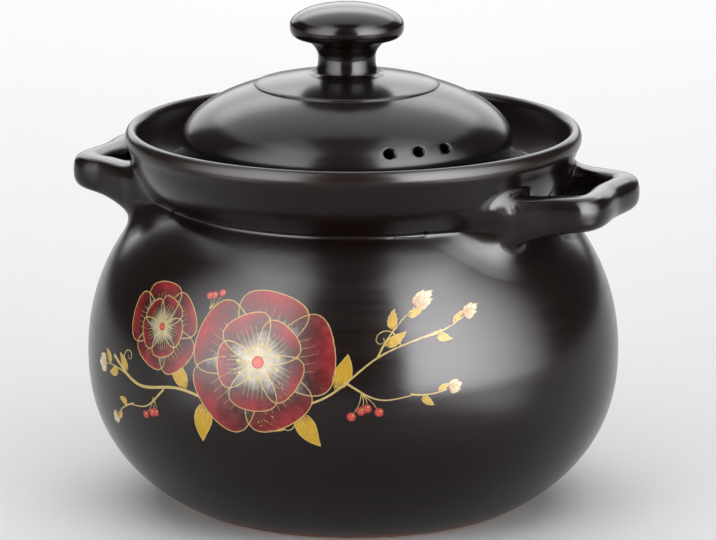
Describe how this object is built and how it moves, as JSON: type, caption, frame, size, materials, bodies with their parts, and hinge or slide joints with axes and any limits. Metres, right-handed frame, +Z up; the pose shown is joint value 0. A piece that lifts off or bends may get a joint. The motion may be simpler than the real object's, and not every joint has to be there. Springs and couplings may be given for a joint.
{
  "type": "clay pot",
  "caption": "Round-bellied black-glazed clay stew pot with a flared collar, two loop handles and a loose domed lid that lifts off by a mushroom knob.",
  "frame": {"origin": "middle of the foot ring, on the surface that the pot stands on", "axes": "+X through the middle of the right handle, +Y to the back, +Z up along the pot's axis"},
  "size_m": [0.2672, 0.25, 0.2344],
  "materials": {
    "pot_glaze": "glossy",
    "lid_glaze": "glossy"
  },
  "bodies": {
    "pot": {"pot_body": "pot_glaze", "handle_right": "pot_glaze", "handle_left": "pot_glaze"},
    "lid": {"lid": "lid_glaze", "lid_knob": "lid_glaze"}
  },
  "joints": [
    {"name": "lid_lift", "type": "slide", "parent": "pot", "child": "lid", "axis": [0, 0, 1], "range_m": [0, 0.15]}
  ]
}
